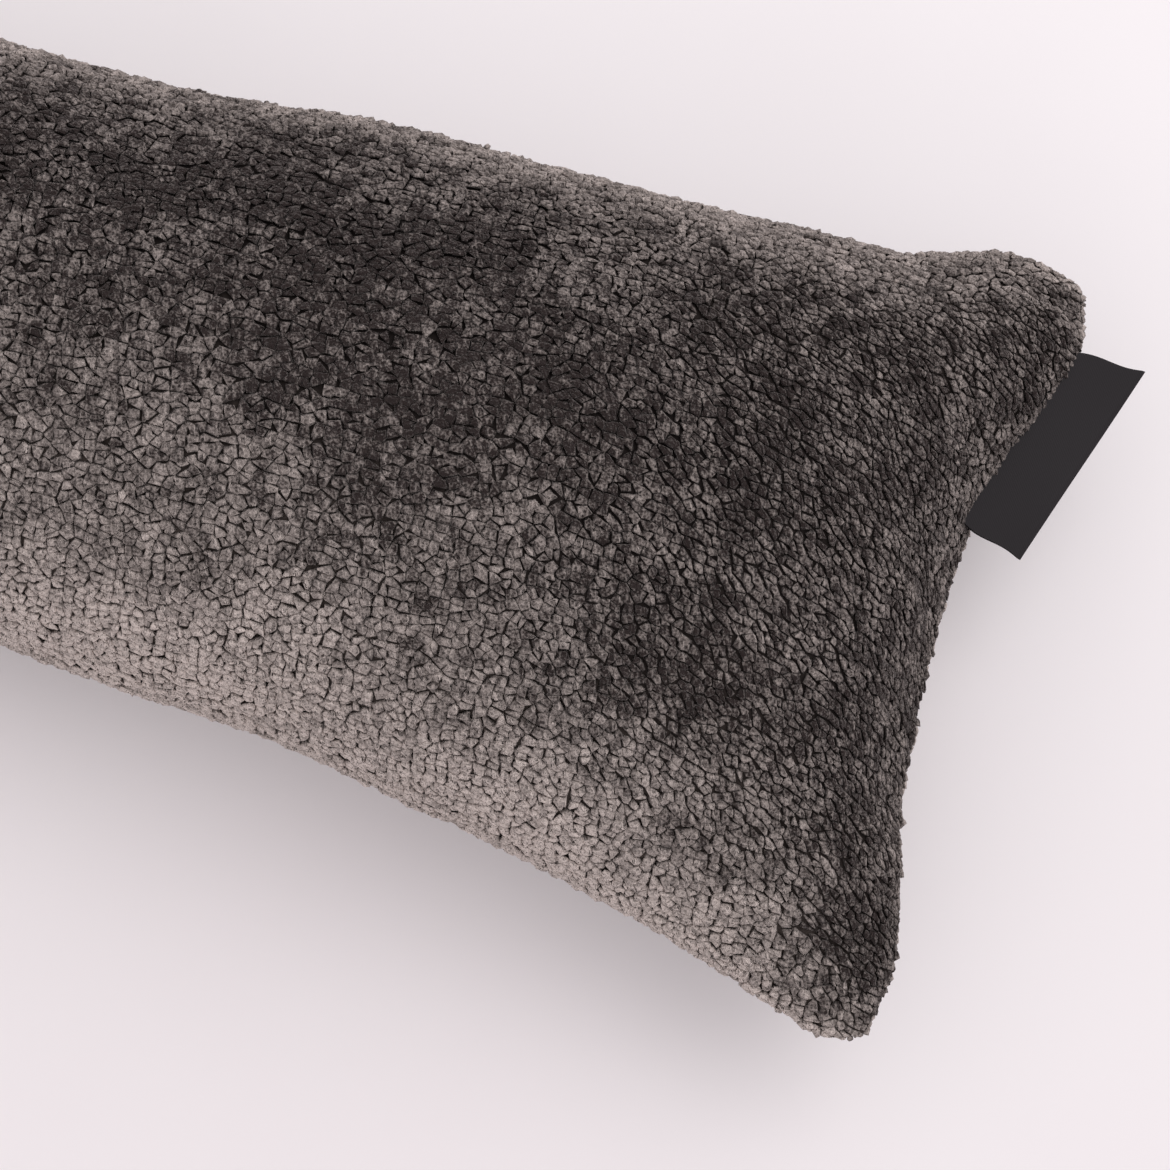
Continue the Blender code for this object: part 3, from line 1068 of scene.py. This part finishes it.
print("ground on", body.name)

# %% [markdown]
# ## The ribbon label
#
# A label like this is a woven satin ribbon, folded once, with both its ends caught in the seam.
# It is modelled as the ribbon itself: a flat grid, whose points are then laid from inside the
# seam out to the fold and back underneath. Its two short sides aren't quite parallel, because the
# curved seam fans the ribbon out, and it hangs a little and waves. Solidify gives it the third of
# a millimetre that woven satin has. It is plain.

# %% Fold the ribbon in the end seam
RIBBON_THICK = 0.35 * MM
FOLD_RADIUS = 0.5 * MM
HALF_FOLD = math.pi / 2 * FOLD_RADIUS  # how much of the ribbon the bend takes on each side
# the two ends of the line where it leaves the cushion, and of its fold, front and back
ROOT_FRONT, ROOT_BACK = np.array([423.0, 31.0, 41.5]) * MM, np.array([436.5, 79.2, 41.0]) * MM
FOLD_FRONT, FOLD_BACK = np.array([440.6, 25.9, 37.5]) * MM, np.array([456.5, 81.4, 39.5]) * MM
WAVE, WAVES_OUT = 0.7 * MM, 0.9  # how high it waves, and how often on its way out to the fold
RIBBON_ROWS, RIBBON_COLUMNS = 48, 36
SMOOTH_UNDER = math.radians(40)

bpy.ops.object.select_all(action="DESELECT")
bpy.ops.mesh.primitive_grid_add(x_subdivisions=RIBBON_ROWS, y_subdivisions=RIBBON_COLUMNS, size=2)
ribbon = bpy.context.object
ribbon.name = "ribbon_label"
flat = points_of(ribbon.data)
share, run = (flat[:, 0] + 1) / 2, flat[:, 1]
root = ROOT_FRONT + (ROOT_BACK - ROOT_FRONT) * share[:, None]
fold = FOLD_FRONT + (FOLD_BACK - FOLD_FRONT) * share[:, None]
ribbon_reach = np.linalg.norm(fold - root, axis=1)
straight = ribbon_reach - FOLD_RADIUS
length = float(straight.mean() + HALF_FOLD) * 2
width = float(np.linalg.norm(FOLD_BACK + ROOT_BACK - FOLD_FRONT - ROOT_FRONT)) / 2
travel = run * (straight + HALF_FOLD)  # from the fold, positive above it
bend = np.clip(travel / FOLD_RADIUS, -math.pi / 2, math.pi / 2)
past_bend = np.maximum(np.abs(travel) - HALF_FOLD, 0)
out = (straight - past_bend + FOLD_RADIUS * np.cos(bend)) / ribbon_reach
laid = root + (fold - root) * out[:, None]
laid[:, 1] += WAVE * np.sin(out * math.tau * WAVES_OUT) * (2 * share - 1)
laid[:, 2] += FOLD_RADIUS * np.sin(bend) + WAVE * np.sin(share * math.tau) * out
move_points(ribbon.data, laid)
only(ribbon)
thick = ribbon.modifiers.new("thick", "SOLIDIFY")
thick.thickness = RIBBON_THICK
thick.offset = 0
bpy.ops.object.modifier_apply(modifier=thick.name)
ribbon.data.shade_smooth()
bpy.ops.object.shade_smooth_by_angle(angle=SMOOTH_UNDER)
print("ribbon", round(width / MM, 1), "by", round(length / MM, 1), "mm before it was folded")

# %% [markdown]
# Black satin ribbon is woven from polyester threads about a tenth of a millimetre apart, which
# gives a low, even gloss. Threads that fine don't show here, so they are drawn 0.4 mm apart, as
# a faint rib across the ribbon.

# %% Weave the satin
SATIN_THREAD = 0.4 * MM
BAND_PITCH = 0.314  # metres from one band of a Wave texture to the next, at scale 1
RIB_DEEP = 0.05 * MM
SATIN_LOW, SATIN_HIGH = linear("1d1a1c"), linear("272326")

satin, shader = new_material("black_satin")
shader.inputs["Roughness"].default_value = 0.55
shader.inputs["Specular IOR Level"].default_value = 0.18
place = add_node(satin, "ShaderNodeTexCoord").outputs["Object"]
ribs = add_node(
    satin,
    "ShaderNodeTexWave",
    {
        "Vector": place,
        "Scale": BAND_PITCH / SATIN_THREAD,
        "Distortion": 0.6,
        "Detail": 2.0,
        "Detail Scale": 2.0,
    },
).outputs["Fac"]
black = add_node(
    satin, "ShaderNodeMix", {"Factor": ribs, MIX_A: SATIN_LOW, MIX_B: SATIN_HIGH}, data_type="RGBA"
)
satin.node_tree.links.new(black.outputs[MIXED], shader.inputs["Base Color"])
rib_bump = add_node(satin, "ShaderNodeBump", {"Strength": 0.3, "Distance": RIB_DEEP, "Height": ribs})
satin.node_tree.links.new(rib_bump.outputs["Normal"], shader.inputs["Normal"])
ribbon.data.materials.append(satin)
print("satin on", ribbon.name)

# %% [markdown]
# ## Attaching the pieces
#
# Every piece rides on the only body of the part, and the two CAD solids that the pieces stand
# for are hidden. The boxes before and after show that the cloth kept to the size of the CAD.

# %% Attach each piece to the body and hide the CAD solids
for piece in (body, *pile):
    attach(piece, "root")
    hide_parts("cushion")
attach(ribbon, "root")
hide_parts("label")

visual_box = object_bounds()
for name, was, now in zip(("lowest", "highest"), cad_box, visual_box):
    print(name, "corner moved by, in mm:", [round((b - a) / MM, 2) for a, b in zip(was, now)])
